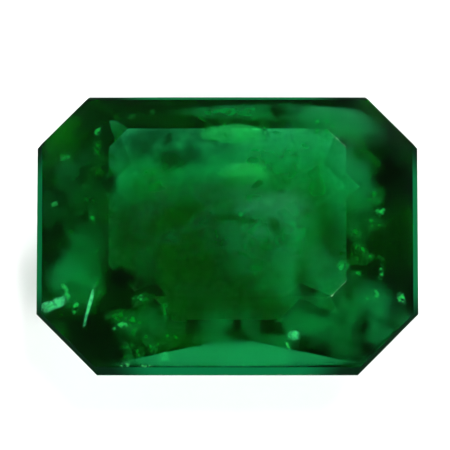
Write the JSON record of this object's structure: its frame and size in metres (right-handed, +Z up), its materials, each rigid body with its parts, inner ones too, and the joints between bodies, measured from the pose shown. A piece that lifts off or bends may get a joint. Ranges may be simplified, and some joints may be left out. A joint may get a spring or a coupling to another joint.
{
  "type": "cut emerald gemstone",
  "caption": "Loose green gemstone cut as a rectangle with cut corners, with a flat table, a crown of triangular facets and a stepped pavilion ending in a flat culet.",
  "frame": {"origin": "middle of the stone's footprint on the surface it stands on, at the height of the culet", "axes": "+X along the long side of the stone, +Y along the short side, +Z up through the table"},
  "size_m": [0.011, 0.0086, 0.0042],
  "materials": {
    "emerald": "polished, clear to hazy deep green"
  },
  "bodies": {
    "root": {"emerald": "emerald"}
  },
  "joints": []
}
